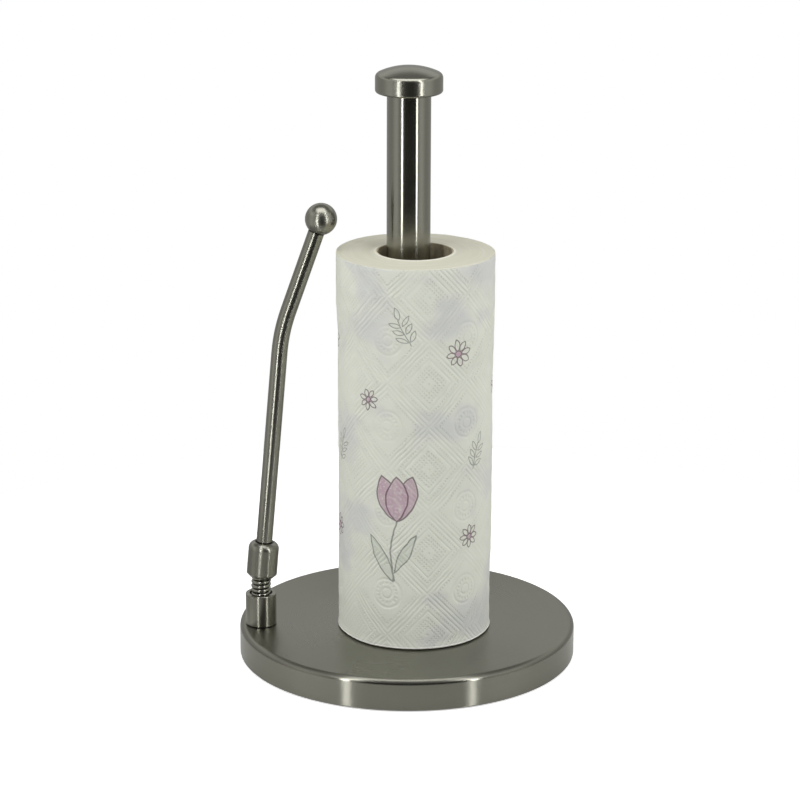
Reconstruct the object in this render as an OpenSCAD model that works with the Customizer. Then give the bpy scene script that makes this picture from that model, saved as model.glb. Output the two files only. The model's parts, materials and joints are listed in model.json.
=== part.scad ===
// Countertop paper towel holder: a weighted round base, an upright post with a domed
// cap, and a bent tension arm that a coil spring lets flex against the roll.
// Millimetres. Z is up, the origin is on the table under the middle of the base, and
// the arm stands on the -X side.

/* [Base] */
// Diameter of the base
base_d = 200; // [180:1:220]
// Height of the base's top above the table
base_h = 19.7; // [18:0.1:24]
// Thickness of the spun steel cover
cover_wall = 1.0; // [0.8:0.1:1.5]
// Radius of the cover's top edge
cover_edge_r = 1.4; // [1:0.1:2.5]
// Thickness of the cast iron ballast disc
ballast_t = 8; // [5:0.5:8]
// Outer diameter of the non-slip foot ring
foot_ring_d = 182; // [120:1:184]

/* [Post] */
// Outer diameter of the post tube
post_d = 25.4; // [22:0.1:28]
// Wall thickness of the post tube
post_wall = 1.2; // [1:0.1:2]
// Height of the tube's top end above the table
post_top = 339.5; // [300:0.5:360]

/* [Cap] */
// Diameter of the cap
cap_d = 39; // [34:0.5:40]
// Height of the cap's straight side
cap_side_h = 10.5; // [7:0.5:14]
// Rise of the cap's dome above its side
cap_dome_h = 4.75; // [4:0.05:9]

/* [Arm] */
// Distance from the post's axis to the arm's socket
arm_x = 87.5; // [80:0.5:89]
// Diameter of the socket
socket_d = 18.2; // [16:0.1:20]
// Height of the socket above the base
socket_h = 19.5; // [16:0.5:24]
// Diameter of the ferrule
ferrule_d = 18; // [16:0.1:20]
// Length of the ferrule
ferrule_h = 21.6; // [18:0.2:26]
// Gap between socket and ferrule, where the spring shows
spring_gap = 10.4; // [8:0.2:13]
// Diameter of the rod
rod_d = 9.5; // [9:0.1:11]
// Lean of the rod's lower stretch towards the post, in degrees
arm_lean = 4.9; // [0:0.1:8]
// Further bend of the rod's upper stretch, in degrees
arm_bend = 14.56; // [5:0.01:20]
// Distance along the arm from the flex point to the corner of the bend
lower_len = 156.1; // [130:0.1:170]
// Distance from the corner of the bend to the middle of the ball
upper_len = 70.6; // [60:0.1:80]
// Radius of the bend, to the rod's axis
bend_r = 100; // [60:5:140]
// Diameter of the ball
ball_d = 18.6; // [17:0.1:22]

/* [Spring] */
// Outer diameter of the spring
spring_d = 11.8; // [11:0.1:12.4]
// Diameter of the spring's wire
wire_d = 2.2; // [1.8:0.1:2.2]
// Distance between the spring's turns
spring_pitch = 2.6; // [2.4:0.1:3]

/* [Roll] */
// Diameter of the paper roll
roll_d = 92.2; // [60:0.2:93]
// Width of the paper, which is the height of the standing roll
roll_h = 228.2; // [210:0.2:240]
// Inner diameter of the cardboard core
core_d = 43.5; // [43:0.1:46]
// Wall of the cardboard core
core_wall = 0.8; // [0.5:0.1:1.5]
// Sideways rest of the roll's axis from the post's axis
roll_off_x = 2.9; // [-4:0.1:4]
// Forward rest of the roll's axis from the post's axis
roll_off_y = -7.6; // [-7.6:0.1:0]

/* [Hidden] */
$fn = 96;

// Under the base
foot_proud = 0.8;
plate_z = 1.0;
plate_t = 2.5;
plate_r = base_d / 2 - 3.6;
groove_depth = 1.2;
foot_ring_w = 8;
hem_w = 3.2;
ballast_top = base_h - cover_wall;
ballast_z = ballast_top - ballast_t;
ballast_r = base_d / 2 - cover_wall - 0.3;
plate_screw_ring_r = 60;
plate_screw_count = 3;
plate_screw_d = 3.5;
plate_screw_head_d = 7;
plate_boss_d = 12;
plate_screw_seat = plate_z + 2.8;   // underside of the bosses' webs, where the heads bear

// Fixings: shank, head across flats, head height, washer diameter and thickness
post_bolt_d = 8;
post_bolt_af = 13;
post_bolt_head = 5.3;
post_washer_d = 16;
post_washer_t = 1.6;
arm_bolt_d = 5;
arm_bolt_af = 8;
arm_bolt_head = 3.5;
arm_washer_d = 10;
arm_washer_t = 1.0;
cap_stud_d = 6;
thread_play = 0.05;   // a bolt's solid is this much under its tapped hole, on the radius
hole_play = 0.3;      // a clearance hole is this much over its bolt, on the radius

// Post and cap
post_bore_r = post_d / 2 - post_wall;
foot_plug_h = 15;
top_plug_h = 15;
top_plug_z = post_top - 26;
cap_spigot_h = 8;
cap_r = cap_d / 2;
cap_under_r = 1.6;
cap_edge_r = 3.1;
dome_r = (cap_r * cap_r + cap_dome_h * cap_dome_h) / (2 * cap_dome_h);
cap_top = post_top + cap_side_h + cap_dome_h;

// Arm, along its own axis from the flex point, which is halfway up the spring's gap
socket_top = base_h + socket_h;
flex_z = socket_top + spring_gap / 2;
flex_half = spring_gap / 2;
ferrule_z = flex_half;
ferrule_top = ferrule_z + ferrule_h;
socket_floor = 4;
spring_bore_r = spring_d / 2 + 0.9;
ferrule_bore_h = 13.5;
ferrule_web = 2.5;
rod_seat = ferrule_z + ferrule_bore_h + ferrule_web;
bend_len = bend_r * tan(arm_bend / 2);
bend_lap = 0.3;       // degrees by which the bend runs on into each straight stretch
bend_thin = 0.04;     // a bar loses this much diameter where it is bent
ball_r = ball_d / 2;
ball_seat = 7.2;      // from the ball's middle to the rod's shoulder
ball_stud_d = 6;
ball_stud_len = 8;

// Spring
peg_flange_t = 1.8;
peg_r = spring_d / 2 - wire_d - 0.05;
peg_len = 10.5;
coil_r = (spring_d - wire_d) / 2;
spring_low = -(flex_half + socket_h - socket_floor - peg_flange_t) + wire_d / 2;
spring_high = ferrule_z + ferrule_bore_h - peg_flange_t - wire_d / 2;
coil_steps = 20;
wire_sides = 8;
spring_rings = round((spring_high - spring_low) / spring_pitch * coil_steps);
flex_arc_r = flex_half / tan(arm_lean / 2);

// Roll
roll_z = base_h + 0.3;
paper_edge_r = 1.2;
core_r = core_d / 2 + core_wall;

// ---- shared shapes ----

// Takes off a revolved outline what lies outside an arc about centre c, between two angles.
module round_off(c, r, from, to) {
    middle = (from + to) / 2;
    translate(c) difference() {
        polygon([
            [0, 0],
            3 * r * [cos(from), sin(from)],
            4 * r * [cos(middle), sin(middle)],
            3 * r * [cos(to), sin(to)]
        ]);
        circle(r);
    }
}

module ring(outer_r, inner_r, z, h) {
    translate([0, 0, z]) difference() {
        cylinder(r = outer_r, h = h);
        translate([0, 0, -1]) cylinder(r = inner_r, h = h + 2);
    }
}

// A turned plug pressed into the post tube, with a tapped hole through it.
module tube_plug(z, h, tapped_d) {
    lead = 0.8;
    rotate_extrude() polygon([
        [tapped_d / 2, z], [post_bore_r - lead, z], [post_bore_r, z + lead],
        [post_bore_r, z + h - lead], [post_bore_r - lead, z + h], [tapped_d / 2, z + h]
    ]);
}

// A hex bolt that points up, with the underside of its head at z.
module hex_bolt(z, d, across_flats, head_h, reach) {
    translate([0, 0, z - head_h]) cylinder(d = across_flats / cos(30), h = head_h, $fn = 6);
    translate([0, 0, z - 0.01]) cylinder(r = d / 2 - thread_play, h = reach);
}

module at_arm() {
    translate([-arm_x, 0, 0]) children();
}

// The arm's own frame: origin at the flex point, Z along the rod's lower stretch.
module along_arm() {
    translate([-arm_x, 0, flex_z]) rotate([0, arm_lean, 0]) children();
}

// The upper stretch's frame: origin at the end of the bend, Z along the rod to the ball.
module along_upper_rod() {
    translate([bend_r, 0, lower_len - bend_len]) rotate([0, arm_bend, 0])
        translate([-bend_r, 0, 0]) children();
}

module at_roll() {
    translate([roll_off_x, roll_off_y, 0]) children();
}

module at_plate_screws() {
    for (i = [0 : plate_screw_count - 1])
        rotate([0, 0, 360 / plate_screw_count * i]) translate([plate_screw_ring_r, 0, 0]) children();
}

// ---- base ----

// Spun stainless shell, open below, with a narrow hem turned in under the rim.
module base_cover() color([0.62, 0.61, 0.57]) difference() {
    rotate_extrude() difference() {
        translate([0, foot_proud]) square([base_d / 2, base_h - foot_proud]);
        translate([-1, foot_proud + cover_wall])
            square([base_d / 2 - cover_wall + 1, base_h - foot_proud - 2 * cover_wall]);
        translate([-1, 0]) square([base_d / 2 - hem_w + 1, foot_proud + cover_wall + 0.1]);
        round_off([base_d / 2 - cover_edge_r, base_h - cover_edge_r], cover_edge_r, 0, 90);
        round_off([base_d / 2 - 0.7, foot_proud + 0.7], 0.7, -90, 0);
    }
    translate([0, 0, base_h - 5]) cylinder(r = post_bolt_d / 2 + hole_play, h = 10);
    at_arm() translate([0, 0, base_h - 5]) cylinder(r = arm_bolt_d / 2 + hole_play, h = 10);
}

// Cast disc that gives the holder its weight and carries both bolts.
module base_ballast() color([0.25, 0.25, 0.26]) difference() {
    rotate_extrude() polygon([
        [0, ballast_z], [ballast_r - 1, ballast_z], [ballast_r, ballast_z + 1],
        [ballast_r, ballast_top - 1], [ballast_r - 1, ballast_top], [0, ballast_top]
    ]);
    translate([0, 0, ballast_z - 1]) cylinder(r = post_bolt_d / 2 + hole_play, h = ballast_t + 2);
    at_arm() translate([0, 0, ballast_z - 1])
        cylinder(r = arm_bolt_d / 2 + hole_play, h = ballast_t + 2);
    at_plate_screws() translate([0, 0, ballast_z - 1]) cylinder(d = plate_screw_d, h = 6);
}

// Moulded plate that closes the base, with a groove for the foot ring and bosses for its screws.
module base_underplate() color([0.12, 0.12, 0.13]) difference() {
    union() {
        translate([0, 0, plate_z]) cylinder(r = plate_r, h = plate_t);
        ring(plate_r, plate_r - 1.8, plate_z, ballast_z - plate_z);
        ring(22, 20.2, plate_z, ballast_z - plate_z);
        at_plate_screws() translate([0, 0, plate_z]) cylinder(d = plate_boss_d, h = ballast_z - plate_z);
    }
    ring(foot_ring_d / 2, foot_ring_d / 2 - foot_ring_w, plate_z - 1, groove_depth + 1);
    at_plate_screws() {
        cylinder(d = plate_screw_head_d + 1, h = plate_screw_seat);
        cylinder(d = plate_screw_d + 0.4, h = ballast_z + 1);
    }
}

// Three pan-head screws that hold the underplate to the ballast.
module underplate_screws() color([0.7, 0.7, 0.7]) at_plate_screws() {
    head_h = 2.2;
    cross_l = 4.4;
    cross_w = 0.8;
    difference() {
        translate([0, 0, plate_screw_seat - head_h]) cylinder(d = plate_screw_head_d, h = head_h);
        for (turn = [0, 90]) rotate([0, 0, turn])
            translate([-cross_l / 2, -cross_w / 2, plate_screw_seat - head_h - 0.1])
                cube([cross_l, cross_w, 1.3]);
    }
    translate([0, 0, plate_screw_seat - 0.01])
        cylinder(r = plate_screw_d / 2 - thread_play, h = 9.5);
}

// Rubber ring that keeps the holder from sliding. It is the only thing that touches the table.
module foot_ring() color([0.08, 0.08, 0.08])
    ring(foot_ring_d / 2 - 0.1, foot_ring_d / 2 - foot_ring_w + 0.1, 0, plate_z + groove_depth);

// ---- post ----

module post_tube() color([0.62, 0.61, 0.57])
    ring(post_d / 2, post_bore_r, base_h, post_top - base_h);

module post_foot_plug() color([0.75, 0.75, 0.73]) tube_plug(base_h, foot_plug_h, post_bolt_d);

module post_bolt() color([0.7, 0.7, 0.7])
    hex_bolt(ballast_z - post_washer_t, post_bolt_d, post_bolt_af, post_bolt_head, 22);

module post_washer() color([0.75, 0.75, 0.75])
    ring(post_washer_d / 2, post_bolt_d / 2 + 0.2, ballast_z - post_washer_t, post_washer_t);

module post_top_plug() color([0.75, 0.75, 0.73]) tube_plug(top_plug_z, top_plug_h, cap_stud_d);

// Headless stud that draws the cap down onto the tube.
module cap_stud() color([0.7, 0.7, 0.7])
    translate([0, 0, top_plug_z + 3]) cylinder(r = cap_stud_d / 2 - thread_play, h = 29);

// Turned knob: a shallow dome over a straight side, with a spigot that centres it in the tube.
module post_cap() color([0.62, 0.61, 0.57]) {
    side_c = [cap_r - cap_under_r, post_top + cap_under_r];
    dome_c = [0, cap_top - dome_r];
    edge_x = cap_r - cap_edge_r;
    edge_c = [edge_x, dome_c[1] + sqrt(pow(dome_r - cap_edge_r, 2) - edge_x * edge_x)];
    edge_from_up = atan2(edge_x, edge_c[1] - dome_c[1]);
    difference() {
        union() {
            rotate_extrude() difference() {
                intersection() {
                    translate([0, post_top]) square([cap_r, cap_side_h + cap_dome_h]);
                    translate(dome_c) circle(dome_r, $fn = 180);
                }
                round_off(side_c, cap_under_r, -90, 0);
                round_off(edge_c, cap_edge_r, 0, 90 - edge_from_up);
            }
            translate([0, 0, post_top - cap_spigot_h])
                cylinder(r = post_bore_r - 0.1, h = cap_spigot_h + 0.5);
        }
        translate([0, 0, post_top - cap_spigot_h - 1])
            cylinder(d = cap_stud_d, h = cap_spigot_h + 9);
    }
}

// ---- tension arm ----

// Turned cup that seats the spring's lower end.
module arm_socket() color([0.62, 0.61, 0.57]) at_arm() {
    r = socket_d / 2;
    lip_r = 0.7;
    foot_break = 0.4;
    rotate_extrude() difference() {
        polygon([
            [arm_bolt_d / 2 + 0.1, base_h], [r - foot_break, base_h], [r, base_h + foot_break],
            [r, socket_top], [arm_bolt_d / 2 + 0.1, socket_top]
        ]);
        translate([-1, base_h + socket_floor]) square([spring_bore_r + 1, socket_h]);
        round_off([r - lip_r, socket_top - lip_r], lip_r, 0, 90);
    }
}

module arm_bolt() color([0.7, 0.7, 0.7])
    at_arm() hex_bolt(ballast_z - arm_washer_t, arm_bolt_d, arm_bolt_af, arm_bolt_head, 22);

module arm_washer() color([0.75, 0.75, 0.75])
    at_arm() ring(arm_washer_d / 2, arm_bolt_d / 2 + 0.2, ballast_z - arm_washer_t, arm_washer_t);

// Flanged peg that the spring's lowest turns grip, drawn down by the arm's bolt.
module spring_peg_lower() color([0.75, 0.75, 0.73]) at_arm() {
    z = base_h + socket_floor;
    rotate_extrude() polygon([
        [arm_bolt_d / 2, z], [spring_bore_r - 0.2, z], [spring_bore_r - 0.2, z + peg_flange_t],
        [peg_r, z + peg_flange_t], [peg_r, z + peg_flange_t + peg_len - 0.6],
        [peg_r - 0.6, z + peg_flange_t + peg_len], [arm_bolt_d / 2, z + peg_flange_t + peg_len]
    ]);
}

// The spring's centre line in the arm's plane, as [x, z, tilt]: upright in the socket,
// a short arc across the gap, then along the arm's own axis.
function spring_axis(s) =
    s < -flex_half ? [0, s, 0]
    : s > flex_half ? [s * sin(arm_lean), s * cos(arm_lean), arm_lean]
    : let (tilt = (s + flex_half) / (2 * flex_half) * arm_lean)
        [flex_arc_r * (1 - cos(tilt)), flex_arc_r * sin(tilt) - flex_half, tilt];

// A point on the wire's skin: turn is the angle round the coil, side the angle round the wire.
function wire_point(s, turn, side) =
    let (
        line = spring_axis(s),
        out = coil_r + wire_d / 2 * cos(side),
        along = wire_d / 2 * sin(side)
    ) [
        line[0] + out * cos(turn) * cos(line[2]) + along * sin(line[2]),
        out * sin(turn),
        line[1] - out * cos(turn) * sin(line[2]) + along * cos(line[2])
    ];

module arm_spring() color([0.72, 0.71, 0.68]) translate([-arm_x, 0, flex_z]) {
    points = [
        for (i = [0 : spring_rings]) for (k = [0 : wire_sides - 1])
            wire_point(
                spring_low + (spring_high - spring_low) * i / spring_rings,
                360 * i / coil_steps,
                360 * k / wire_sides
            )
    ];
    last = spring_rings * wire_sides;
    sides = [
        for (i = [0 : spring_rings - 1]) for (k = [0 : wire_sides - 1])
            let (a = i * wire_sides, next = (k + 1) % wire_sides)
                [a + k, a + next, a + wire_sides + next, a + wire_sides + k]
    ];
    polyhedron(points, concat(
        sides,
        [[for (k = [wire_sides - 1 : -1 : 0]) k]],
        [[for (k = [0 : wire_sides - 1]) last + k]]
    ));
}

// Flanged peg in the spring's top turns. Its stud passes the ferrule's web into the rod.
module spring_peg_upper() color([0.75, 0.75, 0.73]) along_arm() {
    top = ferrule_z + ferrule_bore_h;
    rotate_extrude() polygon([
        [0, top - peg_flange_t - peg_len], [peg_r - 0.6, top - peg_flange_t - peg_len],
        [peg_r, top - peg_flange_t - peg_len + 0.6], [peg_r, top - peg_flange_t],
        [spring_bore_r - 0.2, top - peg_flange_t], [spring_bore_r - 0.2, top],
        [arm_bolt_d / 2 - thread_play, top], [arm_bolt_d / 2 - thread_play, top + ferrule_web + 8],
        [0, top + ferrule_web + 8]
    ]);
}

// Turned sleeve that joins spring and rod, with a rounded shoulder and a tapered foot.
module arm_ferrule() color([0.62, 0.61, 0.57]) along_arm() {
    r = ferrule_d / 2;
    shoulder_r = 4;
    taper_w = 1.9;
    taper_h = 2.0;
    rotate_extrude() difference() {
        polygon([
            [arm_bolt_d / 2 + 0.1, ferrule_z], [r - taper_w, ferrule_z], [r, ferrule_z + taper_h],
            [r, ferrule_top], [arm_bolt_d / 2 + 0.1, ferrule_top]
        ]);
        translate([-1, ferrule_z - 1]) square([spring_bore_r + 1, ferrule_bore_h + 1]);
        translate([-1, rod_seat]) square([rod_d / 2 + 0.3 + 1, ferrule_h]);
        round_off([r - shoulder_r, ferrule_top - shoulder_r], shoulder_r, 0, 90);
    }
}

// Bent round bar, tapped at its foot for the peg and turned down to a stud at its top.
module arm_rod() color([0.62, 0.61, 0.57]) along_arm() {
    difference() {
        translate([0, 0, rod_seat]) cylinder(d = rod_d, h = lower_len - bend_len - rod_seat);
        translate([0, 0, rod_seat - 1]) cylinder(d = arm_bolt_d, h = 10);
    }
    translate([bend_r, 0, lower_len - bend_len]) rotate([90, bend_lap, 180])
        rotate_extrude(angle = arm_bend + 2 * bend_lap)
            translate([bend_r, 0]) circle(d = rod_d - bend_thin);
    along_upper_rod() {
        cylinder(d = rod_d, h = upper_len - bend_len - ball_seat);
        cylinder(r = ball_stud_d / 2 - thread_play, h = upper_len - bend_len - ball_seat + ball_stud_len);
    }
}

// Solid ball, spot-faced where the rod's shoulder seats.
module arm_ball() color([0.62, 0.61, 0.57])
    along_arm() along_upper_rod() translate([0, 0, upper_len - bend_len]) difference() {
        sphere(ball_r);
        translate([0, 0, -ball_r - 1]) cylinder(r = rod_d / 2 + 0.25, h = ball_r + 1 - ball_seat);
        translate([0, 0, -ball_r - 1]) cylinder(d = ball_stud_d, h = ball_r + 1 - ball_seat + ball_stud_len + 1);
    }

// ---- roll ----

module roll_core() color([0.55, 0.5, 0.42])
    at_roll() ring(core_r, core_d / 2, roll_z, roll_h);

// Wound paper, glued to the core, with slightly soft rims.
module paper_roll() color([0.93, 0.93, 0.89]) at_roll() {
    r = roll_d / 2;
    rotate_extrude() difference() {
        translate([core_r, roll_z]) square([r - core_r, roll_h]);
        round_off([r - paper_edge_r, roll_z + roll_h - paper_edge_r], paper_edge_r, 0, 90);
        round_off([r - paper_edge_r, roll_z + paper_edge_r], paper_edge_r, -90, 0);
    }
}

base_cover();
base_ballast();
base_underplate();
underplate_screws();
foot_ring();
post_tube();
post_foot_plug();
post_bolt();
post_washer();
post_top_plug();
cap_stud();
post_cap();
arm_socket();
arm_bolt();
arm_washer();
spring_peg_lower();
arm_spring();
spring_peg_upper();
arm_ferrule();
arm_rod();
arm_ball();
roll_core();
paper_roll();
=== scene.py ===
import json
import math

import bmesh
import bpy
import numpy as np
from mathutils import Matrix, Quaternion, Vector


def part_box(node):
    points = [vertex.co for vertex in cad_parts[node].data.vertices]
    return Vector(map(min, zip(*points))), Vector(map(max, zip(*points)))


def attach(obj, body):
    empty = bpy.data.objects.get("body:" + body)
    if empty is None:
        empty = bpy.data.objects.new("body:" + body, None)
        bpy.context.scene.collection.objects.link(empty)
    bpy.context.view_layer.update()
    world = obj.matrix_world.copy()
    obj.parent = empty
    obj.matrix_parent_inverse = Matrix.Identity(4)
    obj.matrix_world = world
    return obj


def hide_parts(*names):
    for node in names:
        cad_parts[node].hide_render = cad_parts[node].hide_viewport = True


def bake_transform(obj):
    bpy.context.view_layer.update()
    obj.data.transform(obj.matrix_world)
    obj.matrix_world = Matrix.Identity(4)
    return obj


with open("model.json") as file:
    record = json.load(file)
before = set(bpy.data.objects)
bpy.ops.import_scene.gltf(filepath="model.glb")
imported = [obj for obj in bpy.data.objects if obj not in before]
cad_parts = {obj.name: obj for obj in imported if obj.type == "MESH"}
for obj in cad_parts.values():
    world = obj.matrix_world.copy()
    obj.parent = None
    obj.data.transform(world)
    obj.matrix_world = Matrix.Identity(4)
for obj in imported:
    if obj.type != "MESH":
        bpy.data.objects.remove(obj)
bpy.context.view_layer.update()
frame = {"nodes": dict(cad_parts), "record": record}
bpy.ops.object.select_all(action="DESELECT")
scene = bpy.context.scene
scene.view_settings.view_transform = "Standard"

# ---- Camera --------------------------------------------------------------------------------
# A long lens nearly two metres off, a few degrees to the arm's side, which looks down at
# the middle of the holder and leans by a fraction of a degree.
view_turn = math.radians(-5.94)
view_tilt = math.radians(16.88)
view_lean = math.radians(0.178)
view_away = 1.8145
view_aim = Vector((-0.0046, 0.00045, 0.15624))
lens_long = 139.07
film_wide = 36
view_back = Vector((
    math.sin(view_turn) * math.cos(view_tilt),
    -math.cos(view_turn) * math.cos(view_tilt),
    math.sin(view_tilt),
))
bpy.ops.object.camera_add(location=view_aim + view_back * view_away)
camera = bpy.context.object
camera.data.lens = lens_long
camera.data.sensor_width = film_wide
camera.data.clip_start = 0.05
camera.data.clip_end = 30
camera.rotation_mode = "QUATERNION"
camera.rotation_quaternion = (
    (-view_back).to_track_quat("-Z", "Y") @ Quaternion((0, 0, 1), view_lean)
)
scene.camera = camera


# ---- Studio --------------------------------------------------------------------------------
# A pale table in a plain pale room, with an upright soft lamp at each front corner, a broad
# one overhead and one low down on each side. Between the uprights the room is dark, and
# steel shows it as the dark middle of every round piece.
class Wire:
    """An output of a node in the tree now being drawn. Arithmetic on it adds Math nodes."""

    tree = None

    def __init__(self, source):
        self.source = source

    @classmethod
    def node(cls, kind, settings=None, sockets=None, out=0):
        """Adds a node: its type, its settings, then a value or a wire for each socket."""
        node = cls.tree.nodes.new("ShaderNode" + kind)
        for name, value in (settings or {}).items():
            setattr(node, name, value)
        for name, value in (sockets or {}).items():
            if isinstance(value, Wire):
                cls.tree.links.new(value.source, node.inputs[name])
            else:
                node.inputs[name].default_value = value
        return cls(node.outputs[out]) if node.outputs else None

    @classmethod
    def math(cls, operation, *values):
        return cls.node("Math", {"operation": operation}, dict(enumerate(values)))

    def __add__(self, other):
        return Wire.math("ADD", self, other)

    def __radd__(self, other):
        return Wire.math("ADD", other, self)

    def __sub__(self, other):
        return Wire.math("SUBTRACT", self, other)

    def __rsub__(self, other):
        return Wire.math("SUBTRACT", other, self)

    def __mul__(self, other):
        return Wire.math("MULTIPLY", self, other)

    def __rmul__(self, other):
        return Wire.math("MULTIPLY", other, self)

    def __neg__(self):
        return Wire.math("MULTIPLY", self, -1)

    def __abs__(self):
        return Wire.math("ABSOLUTE", self)


def vector_math(operation, *values, out=0):
    return Wire.node("VectorMath", {"operation": operation}, dict(enumerate(values)), out)


def length_of(vector):
    return vector_math("LENGTH", vector, out=1)


def part_of(vector, axis):
    """One number of a vector: 0 gives its x, 1 its y and 2 its z."""
    return Wire.node("SeparateXYZ", None, {0: vector}, axis)


def ease(value, low, high, start=0.0, end=1.0):
    """Goes smoothly from start to end while value goes from low to high."""
    return Wire.node(
        "MapRange", {"interpolation_type": "SMOOTHSTEP"},
        {"Value": value, "From Min": low, "From Max": high, "To Min": start, "To Max": end},
    )


def mixed(share, first, second):
    """One colour where share is 0 and the other where it is 1."""
    first, second = ((*c, 1) if isinstance(c, tuple) else c for c in (first, second))
    return Wire.node("Mix", {"data_type": "RGBA"}, {0: share, 6: first, 7: second}, out=2)


room = bpy.data.worlds.new("room")
scene.world = room
room.use_nodes = True
room.node_tree.nodes.clear()
Wire.tree = room.node_tree
across = Vector((math.cos(view_turn), math.sin(view_turn), 0))
front = Vector((math.sin(view_turn), -math.cos(view_turn), 0))
heading = Wire.node("TexCoord")
to_side = vector_math("DOT_PRODUCT", heading, across, out=1)
to_front = vector_math("DOT_PRODUCT", heading, front, out=1)
# Bearings are in degrees from the camera's side of the room, and a height is the sine of
# the angle above the table. A tone is 0 for black and 1 for white.
bearing = Wire.math("ARCTAN2", to_side, to_front) * (180 / math.pi)
off_front = abs(bearing)
height = part_of(heading, 2)
wall_tone = 0.43
ceiling_tone = 0.20
rail_tone = 0.01
dark_tone = 0.032
pale_corners = ease(off_front, 50, 64) * ease(off_front, 72, 100, 1, 0)
lit_sides = ease(height, 0.28, 0.42) * ease(off_front, 60, 90)
walls = wall_tone + pale_corners * 0.24
walls = walls - ease(off_front, 52, 58, 1, 0) * 0.05
walls = walls - ease(height, 0.10, 0.25) * 0.03
walls = walls + lit_sides * 0.34
walls = walls + ease(height, 0.70, 0.77) * (ceiling_tone - walls)
rail = ease(height, 0.635, 0.660) * ease(height, 0.735, 0.765, 1, 0) * ease(off_front, 70, 95)
walls = walls + rail * (rail_tone - walls) * 0.6
dark = dark_tone - ease(bearing, 25, 30) * 0.029
opening = ease(bearing, -33, -28) * ease(bearing, 42, 47, 1, 0) * ease(height, 0.55, 0.65, 1, 0)
level = walls + opening * (dark - walls)
lit = Wire.node("Background", None, {"Color": (1, 0.995, 0.97, 1), "Strength": level})
seen = Wire.node("Background", None, {"Color": (1, 1, 1, 1), "Strength": 1.0})
sky = Wire.node("MixShader", None, {0: Wire.node("LightPath"), 1: lit, 2: seen})
Wire.node("OutputWorld", None, {"Surface": sky})

# The camera sees the table as white, and the steel sees it as glossy grey, paler below it.
table_r = 0.40
bpy.ops.mesh.primitive_circle_add(vertices=128, radius=table_r, fill_type="NGON")
table = bpy.context.object
table.name = "table"
table_top = bpy.data.materials.new("table_top")
table_top.use_nodes = True
table_top.node_tree.nodes.clear()
Wire.tree = table_top.node_tree
from_middle = length_of(Wire.node("TexCoord", out=3))
grey = Wire.node("BsdfPrincipled", None, {
    "Base Color": mixed(ease(from_middle, 0.14, 0.20), (0.74, 0.74, 0.72), (0.30, 0.30, 0.29)),
    "Roughness": 0.10,
    "IOR": 1.9,
})
pale = Wire.node("BsdfDiffuse", None, {"Color": (0.95, 0.95, 0.95, 1)})
glow = Wire.node("Emission", None, {"Color": (1, 1, 1, 1), "Strength": 0.62})
white = Wire.node("AddShader", None, {0: pale, 1: glow})
Wire.node("OutputMaterial", None, {
    "Surface": Wire.node("MixShader", None, {0: Wire.node("LightPath"), 1: grey, 2: white}),
})
table.data.materials.append(table_top)


def in_room(right, forward, up):
    """A place in the room: to the camera's right, towards the camera and up from the table."""
    return across * right + front * forward + Vector((0, 0, up))


def soft_lamp(name, place, aim, width, tall, level):
    """A flat lamp that the camera doesn't see, whose face has this level, where 1 is white."""
    bpy.ops.object.light_add(type="AREA", location=place)
    lamp = bpy.context.object
    lamp.name = name
    lamp.data.shape = "RECTANGLE"
    lamp.data.size = width
    lamp.data.size_y = tall
    lamp.data.energy = level * math.pi * width * tall
    lamp.rotation_mode = "QUATERNION"
    lamp.rotation_quaternion = (place - aim).to_track_quat("Z", "Y")
    lamp.visible_camera = False
    return lamp


# Each upright lamp has its middle at this height and faces the holder's axis.
left_mid = 0.285
right_mid = 0.63
soft_lamp(
    "lamp_left", in_room(-0.171, 0.2475, left_mid), in_room(0, 0, left_mid),
    width=0.0215, tall=0.55, level=10.2,
)
soft_lamp(
    "lamp_right", in_room(0.504, 0.555, right_mid), in_room(0, 0, right_mid),
    width=0.054, tall=1.30, level=10.4,
)
soft_lamp(
    "lamp_top", in_room(0, 0.11, 0.78), in_room(0, 0.02, 0.12),
    width=0.62, tall=0.35, level=2.4,
)
# The two at the sides light the paper evenly and don't show in the steel.
for side, name in ((-1, "fill_left"), (1, "fill_right")):
    fill = soft_lamp(
        name, in_room(side * 0.65, 0.27, 0.30), in_room(0, 0, 0.16),
        width=0.30, tall=0.56, level=2.7 + 0.3 * side,
    )
    fill.visible_glossy = False

# ---- Base ----------------------------------------------------------------------------------
# A shallow disc spun from stainless sheet and brushed while it turned, so its top carries
# fine rings and its rim fine lines round it. It hides a cast iron weight.
base_low, base_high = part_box("base_cover")
base_r = base_high.x
rim_r = 0.0032
foot_r = 0.0007
sheet_wall = 0.0008
hem_wide = 0.0032
bolt_gap = 0.0042
# A ring that keeps a face flat stands this far from its edge, and places this near to each
# other are taken as one.
ring_back = 0.0004
near = 0.00001
steel_tone = (0.290, 0.287, 0.245)
steel_light = (0.324, 0.320, 0.276)
# The near-black of the painted shade at the joints between parts.
joint_shade_tone = (0.02, 0.018, 0.015)


def start_material(name):
    """An empty material, whose tree becomes the one being drawn."""
    made = bpy.data.materials.new(name)
    made.use_nodes = True
    made.node_tree.nodes.clear()
    Wire.tree = made.node_tree
    return made


def finish_material(**sockets):
    """The surface itself: a value or a wire for each named socket, with _ for a space."""
    sockets = {name.replace("_", " "): value for name, value in sockets.items()}
    Wire.node("OutputMaterial", None, {"Surface": Wire.node("BsdfPrincipled", None, sockets)})


def dress(material, *names):
    """Gives CAD nodes this material in place of their plain one."""
    for name in names:
        frame["nodes"][name].data.materials.clear()
        frame["nodes"][name].data.materials.append(material)


def here():
    """Places in the object's own coordinates, in metres."""
    return Wire.node("TexCoord", out=3)


def set_at(place, lean=0.0):
    """Coordinates measured from place, along an axis that leans this far to the right."""
    return Wire.node("Mapping", {"vector_type": "TEXTURE"}, {
        "Vector": here(), "Location": place, "Rotation": (0, lean, 0),
    })


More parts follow.
